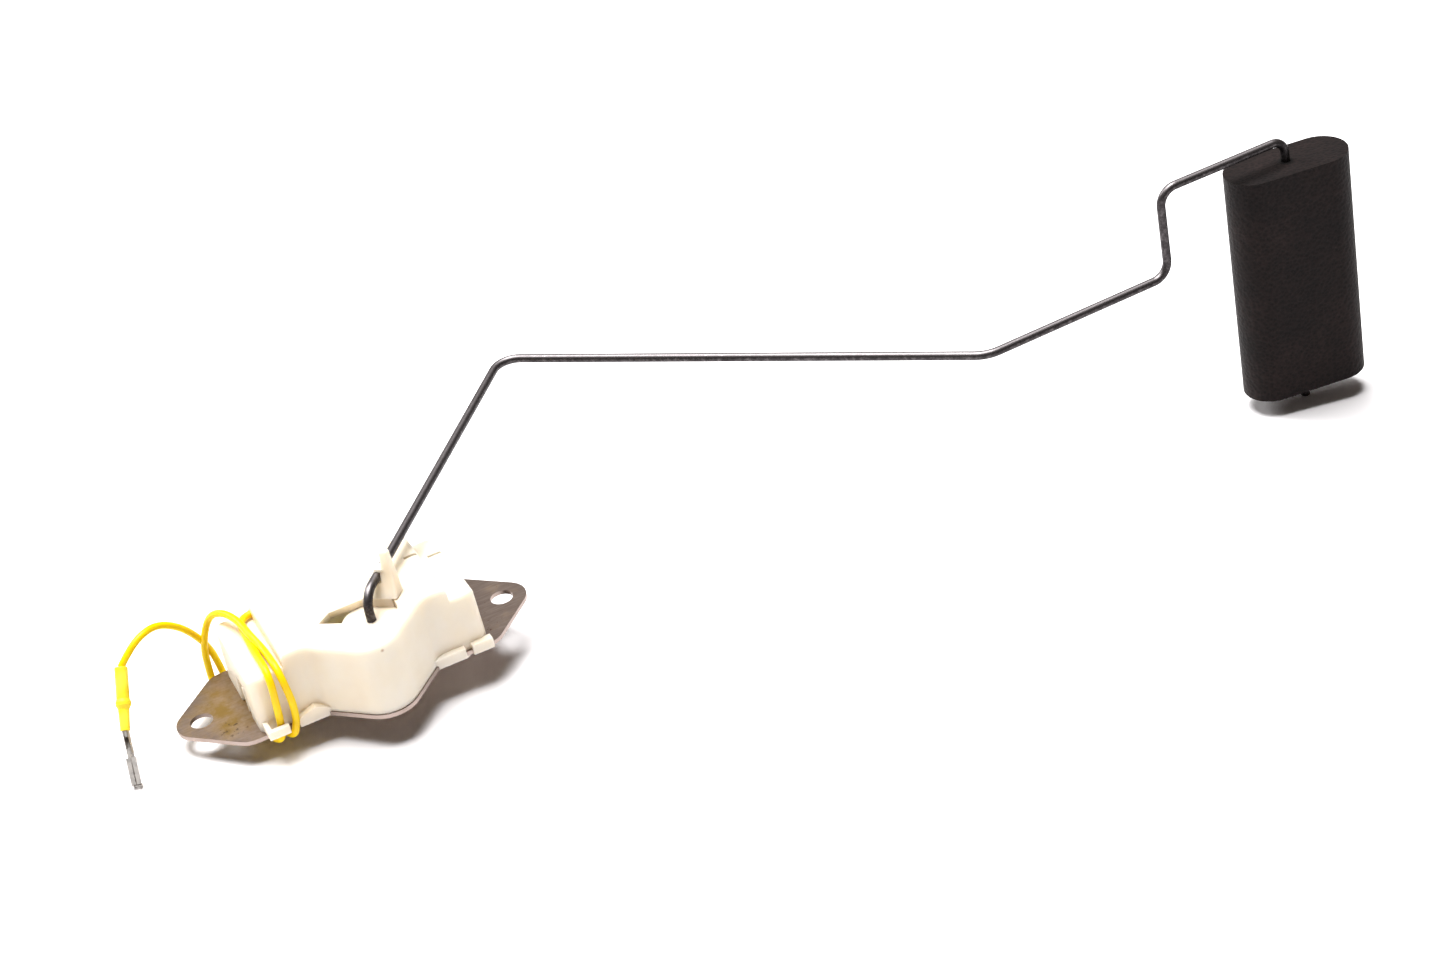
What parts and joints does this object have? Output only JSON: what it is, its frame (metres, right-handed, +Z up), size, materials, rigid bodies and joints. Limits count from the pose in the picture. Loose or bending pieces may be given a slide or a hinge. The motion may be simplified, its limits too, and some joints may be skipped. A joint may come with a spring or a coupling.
{
  "type": "fuel level sender",
  "caption": "Fuel tank level sender with a steel mounting plate, moulded housing, cranked swing arm, foam float and a lead that ends in a crimped socket.",
  "frame": {"origin": "midway between the two fixing holes, on the underside of the mounting plate", "axes": "+X along the row of fixing holes, towards the float; +Z up through the housing, along the arm's pivot; the plate keeps its own frame because it is made to be fixed"},
  "size_m": [0.3719, 0.1036, 0.0855],
  "materials": {
    "plated_steel": "satin",
    "white_acetal": "satin",
    "wire_steel": "satin",
    "float_foam": "matt",
    "yellow_insulation": "gloss",
    "tinned_brass": "satin",
    "phosphor_bronze": "satin",
    "turned_brass": "satin",
    "phenolic_card": "matt",
    "resistance_wire": "satin"
  },
  "bodies": {
    "base": {"mounting_plate": "plated_steel", "housing_cover": "white_acetal", "pivot_bush": "turned_brass", "ground_spring": "phosphor_bronze", "spring_rivet": "turned_brass", "resistor_card": "phenolic_card", "resistor_winding": "resistance_wire", "card_eyelets": "turned_brass", "live_terminal": "tinned_brass", "inner_lead": "yellow_insulation", "lead_wire": "yellow_insulation", "splice_sleeve": "yellow_insulation", "crimp_terminal": "tinned_brass"},
    "arm": {"rotor_hub": "white_acetal", "arm_wire": "wire_steel", "wiper_blade": "phosphor_bronze", "wiper_contact": "turned_brass", "wiper_rivets": "turned_brass", "float_retainer": "wire_steel"},
    "float_body": {"float": "float_foam"}
  },
  "joints": [
    {"name": "arm_pivot", "type": "hinge", "parent": "base", "child": "arm", "pos_m": [0.0052, -0.0133, 0], "axis": [0, 0, 1], "range_deg": [-36, 36]},
    {"name": "float_swivel", "type": "hinge", "parent": "arm", "child": "float_body", "pos_m": [0.2875, -0.01447, 0], "axis": [0, 0, 1], "continuous": true}
  ]
}
